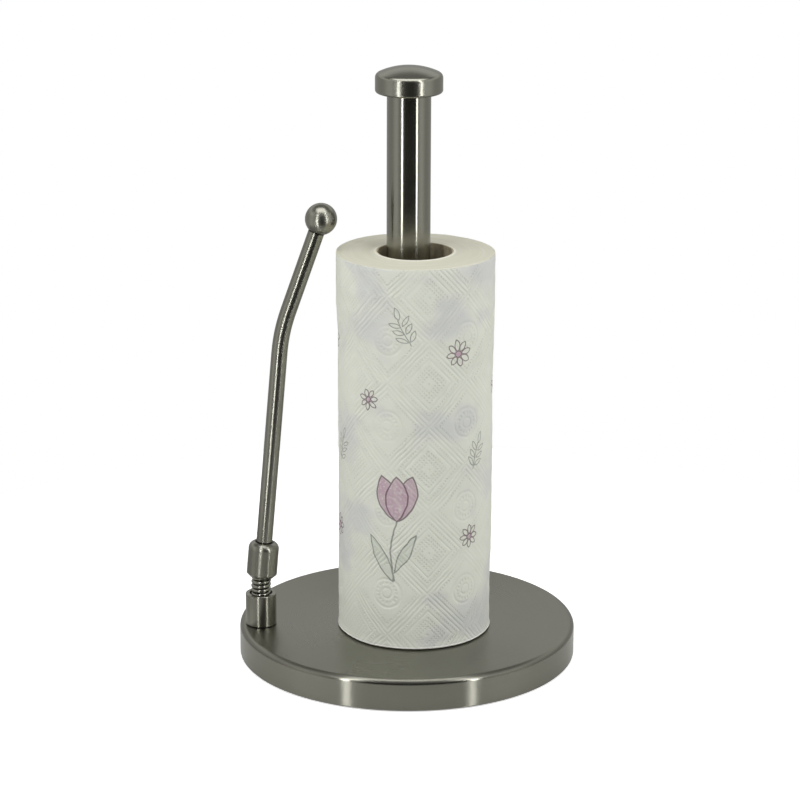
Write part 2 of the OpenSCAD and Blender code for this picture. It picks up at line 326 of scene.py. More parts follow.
def grain(spots, size, detail=2.0):
    """Cloudy noise from 0 to 1, with patches of about this size in metres."""
    return Wire.node("TexNoise", None, {"Vector": spots, "Scale": 0.5 / size, "Detail": detail})


def stretched(spots, x, y, z):
    return vector_math("MULTIPLY", spots, (x, y, z))


def relief(depth):
    """The normal of a surface raised by depth, in metres."""
    return Wire.node("Bump", None, {"Height": depth, "Distance": 1.0})


def round_axis(spots):
    """Distance out from the axis, height along it, and the way round it as a unit vector."""
    flat = stretched(spots, 1, 1, 0)
    out = length_of(flat)
    way = vector_math("NORMALIZE", flat)
    return out, part_of(spots, 2), way


def brush_lines(along, way, pitch, sweep):
    """Lines round an axis, about pitch apart, each running on for about 1 in sweep of a turn."""
    rows = Wire.node("CombineXYZ", None, {"Z": along * (0.5 / pitch)})
    spots = vector_math("MULTIPLY_ADD", way, (sweep,) * 3, rows)
    return Wire.node("TexNoise", None, {"Vector": spots, "Scale": 1.0, "Detail": 1.0})


def hairlines(turn, seed):
    """Sparse fine scratches from wiping, about a centimetre long, all lying one way."""
    laid = Wire.node("Mapping", None, {
        "Vector": here(), "Rotation": (0.4 * turn, 0.3, turn), "Location": (seed, 0, 0),
    })
    return ease(grain(stretched(laid, 60, 1.6, 60), 0.012, 1.0), 0.70, 0.76)


def painted_joint_shade(place, lean, reach, low, high):
    """Painted shade: a dark ring round an axis, out to reach from it and between two heights up it, where
    parts meet.
    """
    soft = 0.0002
    out, up, way = round_axis(set_at(place, lean))
    in_band = ease(up, low - soft, low + soft) * ease(up, high - soft, high + soft, 1, 0)
    return in_band * ease(out, reach - soft, reach + soft, 1, 0) * 0.85


def with_painted_joint_shade(colour, joints):
    """The colour darkened by painted shade at each joint, each given as the places that the painted ring
    takes.
    """
    for joint in joints:
        colour = mixed(painted_joint_shade(*joint), colour, joint_shade_tone)
    return colour


def brushed_steel(
    name, place, lean=0.0, satin=0.30, pull=0.85, shade=1.0, lines=1.0, side_r=None, shaded_joints=(),
):
    """Steel brushed round an axis at place: satin is its roughness, pull how far highlights
    are drawn out, shade its tone and lines how plain the brushing is. At side_r stands a
    side that is smoother than the rest, past a rim that is a little duller."""
    made = start_material(name)
    out, up, way = round_axis(set_at(place, lean))
    fine = brush_lines(out + up, way, 0.00022, 3)
    broad = brush_lines(out + up, way, 0.0011, 1.5)
    handling = grain(here(), 0.022, 3.0)
    marks = (hairlines(0.7, 3) * 0.6 + hairlines(2.1, 8) * 0.5) * lines
    brushed = ((fine - 0.5) * 0.05 + (broad - 0.5) * 0.02) * lines
    dull = satin + brushed + marks * 0.01 + (handling - 0.5) * 0.06
    if side_r is not None:
        dull = dull - 0.13 * ease(out, side_r - 0.0003, side_r - 0.0001)
        dull = dull + 0.03 * ease(out, side_r - 0.0034, side_r - 0.0028)
    tones = (tuple(c * shade for c in tone) for tone in (steel_tone, steel_light))
    finish_material(
        # The base colour carries painted shade as dark rings where parts meet.
        Base_Color=with_painted_joint_shade(mixed(0.5 * fine + 0.5 * broad + marks * 0.05, *tones), shaded_joints),
        Metallic=1.0,
        Roughness=dull,
        Anisotropic=pull,
        Anisotropic_Rotation=0.25,
        Normal=relief((fine * 0.0000002 + broad * 0.0000005) * lines),
    )
    return made


def pick(piece, test):
    """Selects the corners of a piece in edit mode that pass the test, and nothing else."""
    mesh = bmesh.from_edit_mesh(piece.data)
    for corner in mesh.verts:
        corner.select_set(bool(test(corner.co)))
    mesh.select_flush(True)
    bmesh.update_edit_mesh(piece.data)


bpy.ops.mesh.primitive_plane_add(size=1, location=(0, 0, 0))
cover = bpy.context.object
cover.name = "base_shell"
bpy.ops.object.mode_set(mode="EDIT")
bpy.ops.mesh.select_mode(type="VERT")
bpy.ops.transform.resize(value=(base_r - bolt_gap, base_high.z - base_low.z, 1))
bpy.ops.transform.rotate(value=-math.pi / 2, orient_axis="X", center_override=(0, 0, 0))
bpy.ops.transform.translate(value=((base_r + bolt_gap) / 2, 0, (base_high.z + base_low.z) / 2))
bpy.ops.mesh.delete(type="ONLY_FACE")
# The lower line shrinks to the hem's width, and the line between the two inner ends goes.
pick(cover, lambda spot: spot.x < base_r / 2 and spot.z < base_low.z + near)
bpy.ops.transform.translate(value=(base_r - hem_wide - bolt_gap, 0, 0))
pick(cover, lambda spot: spot.x < base_r - near)
bpy.ops.mesh.delete(type="EDGE")
for corner_z, soft, steps in ((base_high.z, rim_r, 10), (base_low.z, foot_r, 3)):
    pick(cover, lambda spot: spot.x > base_r - near and abs(spot.z - corner_z) < near)
    bpy.ops.mesh.bevel(offset=soft, segments=steps, affect="VERTICES")
# A ring near the rim keeps the top flat, and one near each end does so for the side.
pick(cover, lambda spot: spot.z > base_high.z - near)
bpy.ops.mesh.subdivide(number_cuts=1)
pick(cover, lambda spot: spot.z > base_high.z - near and 0.01 < spot.x < base_r * 0.9)
bpy.ops.transform.translate(value=((base_r - rim_r - bolt_gap) / 2 - ring_back, 0, 0))
side_low = base_low.z + foot_r
side_high = base_high.z - rim_r
side_third = (side_high - side_low) / 3
pick(cover, lambda spot: spot.x > base_r - near)
bpy.ops.mesh.subdivide(number_cuts=2)
for ring_z, move in ((side_low + side_third, -1), (side_high - side_third, 1)):
    pick(cover, lambda spot: spot.x > base_r - near and abs(spot.z - ring_z) < near)
    bpy.ops.transform.translate(value=(0, 0, move * (side_third - ring_back)))
bpy.ops.mesh.select_all(action="SELECT")
bpy.ops.mesh.spin(steps=256, angle=2 * math.pi, center=(0, 0, 0), axis=(0, 0, 1))
bpy.ops.mesh.select_all(action="SELECT")
bpy.ops.mesh.remove_doubles(threshold=0.00001)
bpy.ops.mesh.normals_make_consistent(inside=False)
bpy.ops.object.mode_set(mode="OBJECT")
wall = cover.modifiers.new("wall", "SOLIDIFY")
wall.thickness = sheet_wall
wall.offset = -1
bpy.ops.object.modifier_apply(modifier=wall.name)
# The arm's bolt passes through a hole in the top, a little narrower than its head.
bolt_low, bolt_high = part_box("arm_bolt")
bpy.ops.mesh.primitive_cylinder_add(
    vertices=48, radius=(bolt_high.x - bolt_low.x) / 2 * 0.72, depth=0.01,
    location=((bolt_low.x + bolt_high.x) / 2, 0, base_high.z),
)
drill = bpy.context.object
bpy.ops.object.select_all(action="DESELECT")
bpy.context.view_layer.objects.active = cover
cover.select_set(True)
hole = cover.modifiers.new("hole", "BOOLEAN")
hole.operation = "DIFFERENCE"
hole.object = drill
bpy.ops.object.modifier_apply(modifier=hole.name)
bpy.data.objects.remove(drill)
bpy.ops.object.shade_smooth_by_angle(angle=math.radians(30))
cover.data.materials.append(brushed_steel(
    "base_steel", (0, 0, 0), satin=0.28, pull=0.72, shade=0.82, lines=0.3, side_r=base_r,
))
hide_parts("base_cover")
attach(cover, "base")

# The weight inside is a sand-cast iron disc, rough and dark, with a thin film of rust
# here and there. Both bolts pull against it.
cast_iron = start_material("cast_iron")
sand = grain(here(), 0.0007, 3.0)
rust = ease(grain(here(), 0.014, 4.0), 0.52, 0.68)
finish_material(
    Base_Color=mixed(rust * 0.6, (0.045, 0.044, 0.045), (0.13, 0.060, 0.032)),
    Metallic=0.6,
    Roughness=0.62 + sand * 0.2 + rust * 0.12,
    Normal=relief(sand * 0.00022 + grain(here(), 0.004) * 0.0003),
)
dress(cast_iron, "base_ballast")

# The underside is closed by a plate moulded in black plastic with a fine spark texture,
# held by three screws, and stands on a ring of soft rubber pressed into its groove.
moulded = start_material("moulded_plastic")
spark = grain(here(), 0.00045, 2.0)
flow = grain(stretched(here(), 1, 3, 1), 0.03, 2.0)
dust = ease(grain(here(), 0.006, 4.0), 0.55, 0.75)
finish_material(
    Base_Color=mixed(dust * 0.35 + flow * 0.2, (0.016, 0.016, 0.017), (0.048, 0.047, 0.045)),
    Roughness=0.46 + spark * 0.18 + dust * 0.15,
    Normal=relief(spark * 0.00006),
)
dress(moulded, "base_underplate")

rubber = start_material("foot_rubber")
out, up, way = round_axis(here())
cure = brush_lines(out, way, 0.0009, 1)
lint = ease(grain(here(), 0.0012, 3.0), 0.64, 0.72)
finish_material(
    Base_Color=mixed(lint * 0.5 + cure * 0.2, (0.012, 0.012, 0.012), (0.060, 0.058, 0.055)),
    Roughness=0.70 + cure * 0.15,
    Normal=relief(cure * 0.00004 + grain(here(), 0.0004) * 0.00003),
)
dress(rubber, "foot_ring")

# Screws, bolts, washers and the turned plugs and pegs are zinc-plated mild steel, with
# the soft mottled bloom of barrel plating over fine tool lines.
zinc = start_material("zinc_plate")
out, up, way = round_axis(here())
tool = brush_lines(out + up, way, 0.0003, 2)
bloom = grain(here(), 0.0028, 3.0)
finish_material(
    Base_Color=mixed(bloom, (0.43, 0.44, 0.45), (0.56, 0.55, 0.50)),
    Metallic=1.0,
    Roughness=0.27 + bloom * 0.14 + tool * 0.08,
    Normal=relief(tool * 0.000006 + bloom * 0.00001),
)
dress(
    zinc, "underplate_screws", "post_bolt", "post_washer", "post_foot_plug", "post_top_plug",
    "cap_stud", "arm_bolt", "arm_washer", "spring_peg_lower", "spring_peg_upper",
)

# ---- Post and cap --------------------------------------------------------------------------
# The post is a length of one inch stainless tube, ground round its girth. Its cap is turned
# from bar with a shallow dome and a straight side, and screws down on to it.
dress(brushed_steel("post_steel", (0, 0, 0), satin=0.21, pull=0.85), "post_tube")
dress(brushed_steel("cap_steel", (0, 0, 0), satin=0.25, pull=0.20), "post_cap")

# ---- Tension arm ---------------------------------------------------------------------------
# A turned cup stands on the base and holds the foot of a short coil spring. The spring
# carries a ferrule, and the ferrule the bar with its ball.
flex = Vector(frame["record"]["behaviour"]["joints"][0]["pos_m"])
arm_lean = math.radians(4.9)
bar_lean = math.radians(19.46)
bar_r = 0.00475
gap_half = 0.0052
ferrule_top = gap_half + 0.0216
ball_low, ball_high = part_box("arm_ball")
ball_r = (ball_high.y - ball_low.y) / 2
ball_mid = (ball_high.x - ball_r, 0, ball_high.z - ball_r)
seat_r = bar_r + 0.00025
ball_seat = math.sqrt(ball_r ** 2 - seat_r ** 2)
# Painted shade darkens the joints where the cup meets the base, the bar the ferrule and the ball the bar.
socket_foot = ((flex.x, 0, base_high.z), 0, 0.02, -0.001, 0.0005)
bar_foot = (tuple(flex), arm_lean, bar_r + 0.0010, ferrule_top - 0.004, ferrule_top + 0.0006)
ball_joint = (ball_mid, bar_lean, bar_r + 0.0008, -ball_seat - 0.0007, -ball_seat + 0.003)
dress(brushed_steel(
    "socket_steel", (flex.x, 0, 0), satin=0.26, pull=0.85, lines=0.5, shaded_joints=[socket_foot],
), "arm_socket")
dress(brushed_steel(
    "ferrule_steel", tuple(flex), lean=arm_lean, satin=0.31, pull=0.60, lines=0.2, shaded_joints=[bar_foot],
), "arm_ferrule")


def drawn_steel(name, lean, satin, line, depth, shaded_joints):
    """Bar polished along its length, with faint pulls that run the same way: line is how
    far apart they are and depth how deep."""
    made = start_material(name)
    along = set_at(tuple(flex), lean)
    pulls = grain(stretched(along, 12, 12, 0.35), line, 2.0)
    handling = grain(here(), 0.012, 3.0)
    finish_material(
        # The base colour carries painted shade as dark rings where parts meet.
        Base_Color=with_painted_joint_shade(mixed(pulls, steel_tone, steel_light), shaded_joints),
        Metallic=1.0,
        Roughness=satin + (pulls - 0.5) * 0.008 + (handling - 0.5) * 0.04,
        Normal=relief(pulls * depth),
    )
    return made


dress(drawn_steel(
    "bar_steel", math.radians(9), satin=0.24, line=0.004, depth=0.00000015,
    shaded_joints=[bar_foot, ball_joint],
), "arm_rod")
dress(drawn_steel(
    "ball_steel", 0.0, satin=0.28, line=0.008, depth=0.0000001, shaded_joints=[ball_joint],
), "arm_ball")

# The spring is wound from hard stainless wire. Its lower turns grip a peg in the cup and
# its upper turns one in the ferrule, and the few in the gap do the bending.
spring_r = 0.0048
wire_r = 0.0011
# Heights along its middle line, from the point where the arm bends.
spring_low = -0.0178
spring_high = 0.0158
spring_turns = 12.9
spring_steel = start_material("spring_wire")
draw = grain(stretched(here(), 1, 1, 8), 0.004, 2.0)
finish_material(
    Base_Color=mixed(draw, (0.30, 0.30, 0.26), (0.38, 0.38, 0.33)),
    Metallic=1.0,
    Roughness=0.15 + draw * 0.10,
    Normal=relief(draw * 0.000004),
)

bpy.ops.mesh.primitive_circle_add(
    vertices=14, radius=wire_r, fill_type="NOTHING",
    location=(spring_r, 0, spring_low), rotation=(math.pi / 2, 0, 0),
)
coil = bpy.context.object
coil.name = "spring_lower"
bpy.ops.object.transform_apply(location=True, rotation=True, scale=True)
wind = coil.modifiers.new("wind", "SCREW")
wind.axis = "Z"
wind.angle = 2 * math.pi * spring_turns
wind.screw_offset = spring_high - spring_low
wind.steps = wind.render_steps = round(spring_turns * 30)
wind.use_merge_vertices = True
bpy.ops.object.modifier_apply(modifier=wind.name)
bpy.ops.object.mode_set(mode="EDIT")
bpy.ops.mesh.select_all(action="DESELECT")
bpy.ops.mesh.select_mode(type="EDGE")
bpy.ops.mesh.select_non_manifold()
bpy.ops.mesh.edge_face_add()
bpy.ops.mesh.select_all(action="SELECT")
bpy.ops.mesh.normals_make_consistent(inside=False)
bpy.ops.object.mode_set(mode="OBJECT")
# Its middle line is upright in the cup, turns along an arc in the gap and leans with the arm
# in the ferrule.
arc_r = gap_half / math.tan(arm_lean / 2)
for vertex in coil.data.vertices:
    x, y, along = vertex.co
    tilt = min(max((along + gap_half) / (2 * gap_half), 0), 1) * arm_lean
    if along < -gap_half:
        line_x, line_z = 0, along
    elif along > gap_half:
        line_x, line_z = along * math.sin(arm_lean), along * math.cos(arm_lean)
    else:
        line_x, line_z = arc_r * (1 - math.cos(tilt)), arc_r * math.sin(tilt) - gap_half
    vertex.co = flex + Vector((line_x + x * math.cos(tilt), y, line_z - x * math.sin(tilt)))
bpy.ops.object.shade_smooth()
coil.data.materials.append(spring_steel)
bpy.ops.object.duplicate()
coil_top = bpy.context.object
coil_top.name = "spring_upper"
for half, below in ((coil, True), (coil_top, False)):
    bpy.ops.object.select_all(action="DESELECT")
    bpy.context.view_layer.objects.active = half
    half.select_set(True)
    bpy.ops.object.mode_set(mode="EDIT")
    bpy.ops.mesh.select_all(action="SELECT")
    bpy.ops.mesh.bisect(
        plane_co=flex, plane_no=(0, 0, 1), use_fill=True, clear_inner=not below, clear_outer=below,
    )
    bpy.ops.object.mode_set(mode="OBJECT")
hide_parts("arm_spring")
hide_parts("arm_spring")
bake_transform(coil)
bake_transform(coil_top)

# ---- Roll ----------------------------------------------------------------------------------
# The core is a tube of grey-brown board wound from spiral strips, so a faint seam climbs round it, with
# loose fibres. Near its top the board is painted paler, most on the left, as painted light falling into the
# bore.
roll_low, roll_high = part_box("paper_roll")
roll_mid = (roll_low + roll_high) / 2
core_board = start_material("core_board")
centred = set_at((roll_mid.x, roll_mid.y, 0))
out, up, way = round_axis(centred)
way_x, way_y = part_of(way, 0), part_of(way, 1)
strip_rise = 0.065
climb = Wire.math("FRACT", Wire.math("ARCTAN2", way_y, way_x) * (1 / (2 * math.pi)) + up * (1 / strip_rise))
strip = ease(abs(climb - 0.5), 0.470, 0.490)
fibre = grain(stretched(centred, 1, 1, 2.5), 0.0012, 4.0)
flecks = ease(grain(centred, 0.0022, 3.0), 0.42, 0.62)
board = mixed(0.25 * fibre + 0.55 * flecks + 0.4 * strip, (0.52, 0.46, 0.32), (0.24, 0.205, 0.135))
# Painted light: the mouth of the bore goes paler, more on the left side.
painted_mouth_light = ease(up, roll_high.z - 0.012, roll_high.z - 0.001) * ease(way_x, -0.4, 0.5, 0.55, 0.25)
finish_material(
    Base_Color=mixed(painted_mouth_light, board, (0.80, 0.73, 0.56)),
    Roughness=0.86 + fibre * 0.1,
    Normal=relief(fibre * 0.00012 - strip * 0.0002),
)
dress(core_board, "roll_core")

# The towels are two-ply tissue, embossed and printed before it is wound on the core and
# cut to width. The last sheet's edge lies loose down the back of the roll.
sheet_t = 0.0004
tail_at = math.radians(152)
paper_r = (roll_high.x - roll_low.x) / 2
paper_bore = (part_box("roll_core")[1].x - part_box("roll_core")[0].x) / 2
paper_tall = roll_high.z - roll_low.z
top_soft = 0.0005
foot_soft = 0.0010
round_steps = 320
tall_steps = 228
wound_steps = 17

bpy.ops.mesh.primitive_plane_add(size=1, location=(0, 0, 0))
towels = bpy.context.object
towels.name = "paper_towels"
bpy.ops.object.mode_set(mode="EDIT")
bpy.ops.transform.resize(value=(paper_r - paper_bore, paper_tall, 1))
bpy.ops.transform.rotate(value=-math.pi / 2, orient_axis="X", center_override=(0, 0, 0))
bpy.ops.transform.translate(value=(roll_mid.x + (paper_r + paper_bore) / 2, roll_mid.y, roll_mid.z))
bpy.ops.mesh.delete(type="ONLY_FACE")


def pick_edges(test):
    """Selects the section's edges whose middle passes the test, and nothing else."""
    section = bmesh.from_edit_mesh(towels.data)
    for edge in section.edges:
        edge.select_set(False)
    for edge in section.edges:
        middle = (edge.verts[0].co + edge.verts[1].co) / 2
        edge.select_set(bool(test(middle.x - roll_mid.x, middle.z)))
    bmesh.update_edit_mesh(towels.data)


bpy.ops.mesh.select_mode(type="VERT")
for corner_z, soft in ((roll_high.z, top_soft), (roll_low.z, foot_soft)):
    pick(towels, lambda spot: spot.x - roll_mid.x > paper_r - near and abs(spot.z - corner_z) < near)
    bpy.ops.mesh.bevel(offset=soft, segments=3, affect="VERTICES")
# The side is cut into rows, with the first step of each rounded edge, and the two ends into
# rings.
bpy.ops.mesh.select_mode(type="EDGE")
pick_edges(lambda out, up: out > paper_r - 0.0001)
bpy.ops.mesh.subdivide(number_cuts=tall_steps - 1)
pick_edges(lambda out, up: paper_bore + 0.0005 < out < paper_r - 0.0012)
bpy.ops.mesh.subdivide(number_cuts=wound_steps - 1)
bpy.ops.mesh.select_all(action="SELECT")
bpy.ops.mesh.spin(
    steps=round_steps, angle=2 * math.pi, center=(roll_mid.x, roll_mid.y, 0), axis=(0, 0, 1),
)
bpy.ops.mesh.select_all(action="SELECT")
bpy.ops.mesh.remove_doubles(threshold=0.00002)
bpy.ops.mesh.normals_make_consistent(inside=False)
bpy.ops.object.mode_set(mode="OBJECT")
bpy.ops.object.shade_smooth_by_angle(angle=math.radians(50))

# Wound paper is never a true cylinder. This roll is a little full at its top, drawn in
# lower down on one side, quilted by the embossing, and steps down at the loose edge. Its
# upper end is uneven and stands proudest at the front.
spots = np.empty(len(towels.data.vertices) * 3)
towels.data.vertices.foreach_get("co", spots)
spots = spots.reshape(-1, 3)
side_x = spots[:, 0] - roll_mid.x
side_y = spots[:, 1] - roll_mid.y
up = spots[:, 2] - roll_low.z
reach = np.hypot(side_x, side_y)
turn = np.arctan2(side_x, -side_y)
outer = np.clip((reach - paper_bore) / (paper_r - paper_bore), 0, 1)


def eased(value, low, high):
    """Goes smoothly from 0 to 1 while value goes from low to high, on plain numbers."""
    share = np.clip((value - low) / (high - low), 0, 1)
    return share * share * (3 - 2 * share)


repeat_round = 2 * math.pi * paper_r / 6
repeat_up = 0.0508
emboss_start = (0.0035, 0.0088)
along_round = np.abs((turn * paper_r - emboss_start[0]) / repeat_round % 1 - 0.5) * 2
along_up = np.abs((up - emboss_start[1]) / repeat_up % 1 - 0.5) * 2
pillow = np.cos(2 * np.pi * (along_round + along_up)) * np.cos(2 * np.pi * (along_round - along_up))
slack = (
    np.sin(3 * turn + 9 * up / paper_tall + 0.6)
    + 0.7 * np.sin(5 * turn - 14 * up / paper_tall)
    + 0.5 * np.sin(9 * turn + 23 * up / paper_tall + 2)
    + 0.5 * np.sin(2 * turn + 31 * up / paper_tall + 1)
)
waist_top = 0.187
foot_top = 0.052
drawn_in = eased(-np.sin(turn), 0.55, 1.0) * (0.0012 * eased(waist_top - up, -0.012, 0.012) + 0.0004)
full_top = 0.0006 * eased(np.sin(turn), 0.2, 1.0) * eased(up, 0.15, 0.20)
slim_foot = 0.0005 * eased(np.sin(turn), 0.5, 1.0) * eased(foot_top - up, 0, 0.02)
since_tail = (tail_at - turn) / (2 * np.pi) % 1
layer = sheet_t * (since_tail - 1)
lifted = 0.0009 * np.exp(-((since_tail * 2 * np.pi * paper_r / 0.006) ** 2))
lifted = lifted * (0.4 + 0.6 * eased(np.abs(up / paper_tall - 0.5), 0.3, 0.5))
ends = eased(np.minimum(up, paper_tall - up), 0, 0.004)
flared = 0.0006 * np.exp(-((up / 0.0024) ** 2)) * eased(up, 0, 0.0010)
moved = outer ** 2 * (
    slack * 0.00009 - drawn_in + full_top - slim_foot + layer + lifted + flared + ends * pillow * 0.00014
)
reach_new = np.maximum(reach + np.where(outer > 0.02, moved, 0), paper_bore)
uneven = 0.0006
on_top = up > paper_tall - 0.0013
wound = (
    0.00005 * np.sin(outer * 41 + 2 * np.sin(turn + 1))
    + 0.00003 * np.sin(outer * 88 + 1.5 * np.sin(2 * turn))
    + (uneven * (1 + np.cos(turn)) - 0.00035) * outer ** 2
    + 0.0002 * np.sin(2 * turn + 0.5) * outer
)
lip = 0.0005 * np.exp(-((outer / 0.07) ** 2))
spots[:, 2] += np.where(on_top, wound + lip - 0.0003, 0)
scaled = reach_new / reach
spots[:, 0] = roll_mid.x + side_x * scaled
spots[:, 1] = roll_mid.y + side_y * scaled
towels.data.vertices.foreach_set("co", spots.ravel())
towels.data.update()

# On the map, which runs from 0 to 1, the side unrolls to one flat sheet, with a disc for
# each end and a strip for the bore below it. So print and embossing stay square.
disc_scale = 2.4
plan = towels.data.uv_layers.new(name="OFBake")
faces = towels.data.polygons
corner_count = np.empty(len(faces), np.int32)
corner_spot = np.empty(len(towels.data.loops), np.int32)
middles = np.empty(len(faces) * 3)
facing = np.empty(len(faces) * 3)
faces.foreach_get("loop_total", corner_count)
faces.foreach_get("center", middles)
faces.foreach_get("normal", facing)
towels.data.loops.foreach_get("vertex_index", corner_spot)
middles = np.repeat(middles.reshape(-1, 3), corner_count, axis=0)
facing = np.repeat(facing.reshape(-1, 3)[:, 2], corner_count)
x, y, z = (spots[corner_spot] - (roll_mid.x, roll_mid.y, roll_low.z)).T
mid_x = middles[:, 0] - roll_mid.x
mid_y = middles[:, 1] - roll_mid.y
mid_turn = np.arctan2(mid_x, -mid_y)
bend = np.arctan2(x, -y)
share = 0.5 + (bend + 2 * np.pi * np.round((mid_turn - bend) / (2 * np.pi))) / (2 * np.pi)
flat = np.stack([0.004 + 0.992 * share, 0.245 + 0.75 * z / paper_tall], axis=1)
in_bore = np.hypot(mid_x, mid_y) < paper_bore + 0.0005
flat[in_bore] = np.stack([0.55 + 0.42 * share, 0.02 + 0.2 * z / paper_tall], axis=1)[in_bore]
on_end = np.abs(facing) > 0.8
flat[on_end] = np.stack(
    [np.where(facing > 0, 0.13, 0.39) + x * disc_scale, 0.118 + y * disc_scale], axis=1,
)[on_end]
plan.data.foreach_set("uv", flat.astype(np.float32).ravel())

tissue = start_material("printed_tissue")
centred = set_at((roll_mid.x, roll_mid.y, roll_low.z))
out, up, way = round_axis(centred)
way_x, way_y = part_of(way, 0), part_of(way, 1)
# From here the pattern is set out in millimetres, round the roll from its front and up.
round_mm = Wire.math("ARCTAN2", way_x, -way_y) * (paper_r * 1000)
up_mm = up * 1000
# The look of the cut end starts higher where that end stands higher, towards the front.
outwards = (out - paper_bore) * (1 / (paper_r - paper_bore))
levelled = up - (1 - way_y) * outwards * outwards * uneven
cut_top = ease(levelled, paper_tall - 0.00115, paper_tall - 0.00095)
on_end = cut_top + ease(up, 0.0002, 0.0010, 1, 0)
on_side = 1 - on_end


def folded(value, middle, half):
    """Distance from the nearest of the repeats of middle, each 2 half apart."""
    return Wire.math("PINGPONG", value - middle, half)


def row_of(value, spacing, start=0.0):
    """A wave that is 1 on rows this far apart and 0 between them."""
    return Wire.math("COSINE", (value - start) * (2 * math.pi / spacing)) * 0.5 + 0.5


def between(value, low, high, soft=0.35):
    return ease(value, low - soft, low + soft) * ease(value, high - soft, high + soft, 1, 0)


# Embossing: diamonds of dots inside a plain diamond, ribs at 45 degrees that cross between
# them, and a ringed rosette where the ribs leave a square.
half_round = repeat_round * 500
half_up = repeat_up * 500
drift = (grain(centred, 0.012) - 0.5) * 1.6 + (grain(centred, 0.0035) - 0.5) * 0.7
from_x = folded(round_mm + drift, emboss_start[0] * 1000, half_round) * (half_up / half_round)
from_y = folded(up_mm - drift, emboss_start[1] * 1000, half_up)
ring_of = from_x + from_y
slant = from_x - from_y
corner_x = half_up - from_x
corner_y = half_up - from_y


def flat_length(x, y):
    """How long a flat arrow with this x and y is."""
    return length_of(Wire.node("CombineXYZ", None, {"X": x, "Y": y}))


def rib(distance, wide=1.3):
    """A soft raised line along distance 0."""
    return ease(abs(distance), 0.1, wide, 1, 0)


def diamonds(first, *others):
    """Ribs round the middle of a diamond, at these distances from it."""
    drawn = rib(ring_of - first)
    for other in others:
        drawn = drawn + rib(ring_of - other)
    return drawn


rosette = flat_length(corner_x, corner_y)
studs = ease(row_of(slant, 2.6), 0.25, 0.75)
stud_rows = diamonds(5.4, 8.2, 10.9, 18.9, 32.0)
ribs = diamonds(15.2, 22.1, 25.4, 28.7)
ring_studs = ease(row_of(Wire.math("ARCTAN2", corner_y, corner_x), 2 * math.pi / 16), 0.25, 0.75)
flower = rib(rosette - 8.8) + rib(rosette - 3.1, 1.1) + rib(rosette - 6.0) * ring_studs
pins = stud_rows * studs
crushed = ease(grain(centred, 0.016, 2.0), 0.38, 0.60, 0.45, 1.0)
raised = ((pins + ribs) * ease(rosette, 9.6, 10.4) + flower + rib(ring_of, 1.6)) * crushed
crepe = grain(stretched(centred, 1, 1, 1.6), 0.0008, 2.0)
wrinkle = grain(centred, 0.006, 3.0)

# Print: one line of tulips low on the roll, with loose daisies and sprigs above and beside
# them, in mauve, plum and grey-green. Three repeats go round.
tile = 2 * math.pi * paper_r * 1000 / 3
wobble = Wire.node("TexNoise", None, {"Vector": centred, "Scale": 110.0, "Detail": 1.0}, out=1)
page = Wire.node("CombineXYZ", None, {
    "X": Wire.math("WRAP", round_mm, tile / 2, -tile / 2), "Y": up_mm,
})
shake = 2.2
page = vector_math("MULTIPLY_ADD", wobble, (shake, shake, 0), page)
page = vector_math("SUBTRACT", page, (shake / 2, shake / 2, 0))


def set_down(place, turn=0.0):
    """The page's x and y measured from a place, turned by this many degrees."""
    laid = Wire.node("Mapping", {"vector_type": "TEXTURE"}, {
        "Vector": page, "Location": (*place, 0), "Rotation": (0, 0, math.radians(turn)),
    })
    return part_of(laid, 0), part_of(laid, 1)


def leaf_edge(x, y, long, wide):
    """Distance from the edge of a leaf pointed at both ends, below 0 inside it."""
    arc = (long ** 2 + wide ** 2) / (4 * wide)
    return flat_length(abs(x) + (arc - wide / 2), y) - arc


def pen(distance, wide=0.75):
    """A drawn line of this width along distance 0."""
    return ease(abs(distance), wide / 2 - 0.2, wide / 2 + 0.2, 1, 0)


def either(*masks):
    joined = masks[0]
    for mask in masks[1:]:
        joined = Wire.math("MAXIMUM", joined, mask)
    return joined


def daisy(place, reach, petals, turn):
    """A flower's lines, and the distance from the edge of its eye, below 0 inside it."""
    x, y = set_down(place, turn)
    far = flat_length(x, y)
    fold = Wire.math("PINGPONG", Wire.math("ARCTAN2", y, x) + math.pi, math.pi / petals)
    along = far * Wire.math("COSINE", fold)
    aside = far * Wire.math("SINE", fold)
    petal = leaf_edge(aside, along - reach * 0.62, reach * 0.76, reach * 0.40)
    eye_r = reach * 0.24
    return either(pen(petal, 0.6), pen(far - eye_r, 0.6)), far - eye_r


def sprig(place, turn, pairs, long):
    """The lines of a wavy stalk with so many pairs of leaves and one leaf at its tip."""
    x, y = set_down(place, turn)
    stalk = pen(x + Wire.math("SINE", y * 0.12) * 0.8, 0.55)
    marks = [stalk * between(y, -2, pairs * long * 0.62, 0.2)]
    lean = 0.85
    for pair in range(pairs):
        aside = abs(x) - long * 0.42
        above = y - long * (0.35 + 0.6 * pair)
        leaf_x = aside * math.cos(lean) - above * math.sin(lean)
        leaf_y = aside * math.sin(lean) + above * math.cos(lean)
        marks.append(pen(leaf_edge(leaf_x, leaf_y, long * 0.9, long * 0.30), 0.5))
    tip = leaf_edge(x, y - long * (0.62 * pairs + 0.42), long * 0.9, long * 0.34)
    return either(*marks, pen(tip, 0.5))


